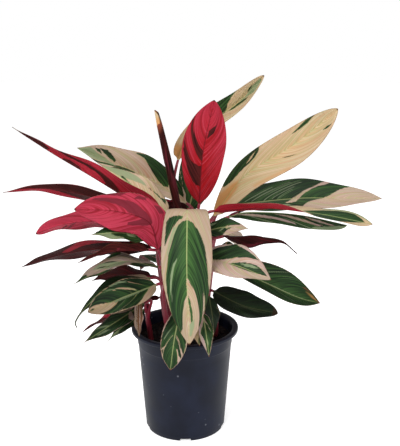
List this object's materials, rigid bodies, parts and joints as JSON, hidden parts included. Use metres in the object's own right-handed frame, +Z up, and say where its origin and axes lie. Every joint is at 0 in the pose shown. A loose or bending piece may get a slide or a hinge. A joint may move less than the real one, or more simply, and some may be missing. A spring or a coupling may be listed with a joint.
{
  "type": "potted stromanthe",
  "caption": "Bushy prayer plant with long green, cream and crimson-backed leaves on red stems, growing in a tapered black nursery pot with a lip and foot notches.",
  "frame": {"origin": "centre of the pot's underside, on the surface it stands on", "axes": "+Z up; the plant's front, with its big hanging leaf, looks along -Y; its widest spread is along X"},
  "size_m": [0.5971, 0.32, 0.5413],
  "materials": {
    "pot": "moulded black polypropylene, satin, faintly scuffed",
    "soil": "damp peat, crumbly and matt",
    "stem": "smooth red-brown living stem",
    "leaf": "living leaf: satin green and cream above, crimson beneath",
    "new_leaf": "rolled young leaf, dark burgundy with a pale tip"
  },
  "bodies": {
    "root": {"pot": "pot", "soil": "soil", "shoot_centre": "stem", "shoot_right": "stem", "shoot_left": "stem", "shoot_low_right": "stem", "shoot_low_left": "stem", "shoot_basal_right": "stem", "shoot_basal_left": "stem", "shoot_basal_front": "stem", "shoot_back": "stem", "leaf_front_hanging": "leaf", "leaf_red_upright": "leaf", "leaf_top_back": "leaf", "leaf_upper_left": "leaf", "leaf_cream_right": "leaf", "leaf_arching_right": "leaf", "leaf_lower_right_red": "leaf", "leaf_lower_right_olive": "leaf", "leaf_small_cream_tip": "leaf", "leaf_curled_right": "leaf", "leaf_mid_right": "leaf", "leaf_far_right": "leaf", "leaf_low_right": "leaf", "leaf_rim_right": "leaf", "leaf_rim_dark": "leaf", "leaf_rim_left": "leaf", "leaf_rim_sliver": "leaf", "leaf_under_left": "leaf", "leaf_far_left": "leaf", "leaf_left_dark": "leaf", "leaf_front_pink": "leaf", "leaf_left_pink": "leaf", "leaf_left_dark_red": "leaf", "leaf_left_thin": "leaf", "leaf_left_small": "leaf", "leaf_left_grey": "leaf", "leaf_left_purple": "leaf", "leaf_left_oval": "leaf", "leaf_left_curl": "leaf", "leaf_low_left_burgundy": "leaf", "leaf_inner_burgundy": "leaf", "leaf_low_left_green": "leaf", "leaf_low_left_small": "leaf", "leaf_rim_dry": "leaf", "leaf_back_upright": "leaf", "leaf_back_centre": "leaf", "leaf_back_left": "leaf", "leaf_back_right": "leaf", "leaf_centre_dark": "leaf", "leaf_back_tall_left": "leaf", "leaf_back_tall_right": "leaf", "leaf_back_mid_right": "leaf", "leaf_back_inner_left": "leaf", "leaf_back_inner_right": "leaf", "leaf_back_low_left": "leaf", "leaf_back_low_right": "leaf", "leaf_rolled_spike": "new_leaf"}
  },
  "joints": []
}
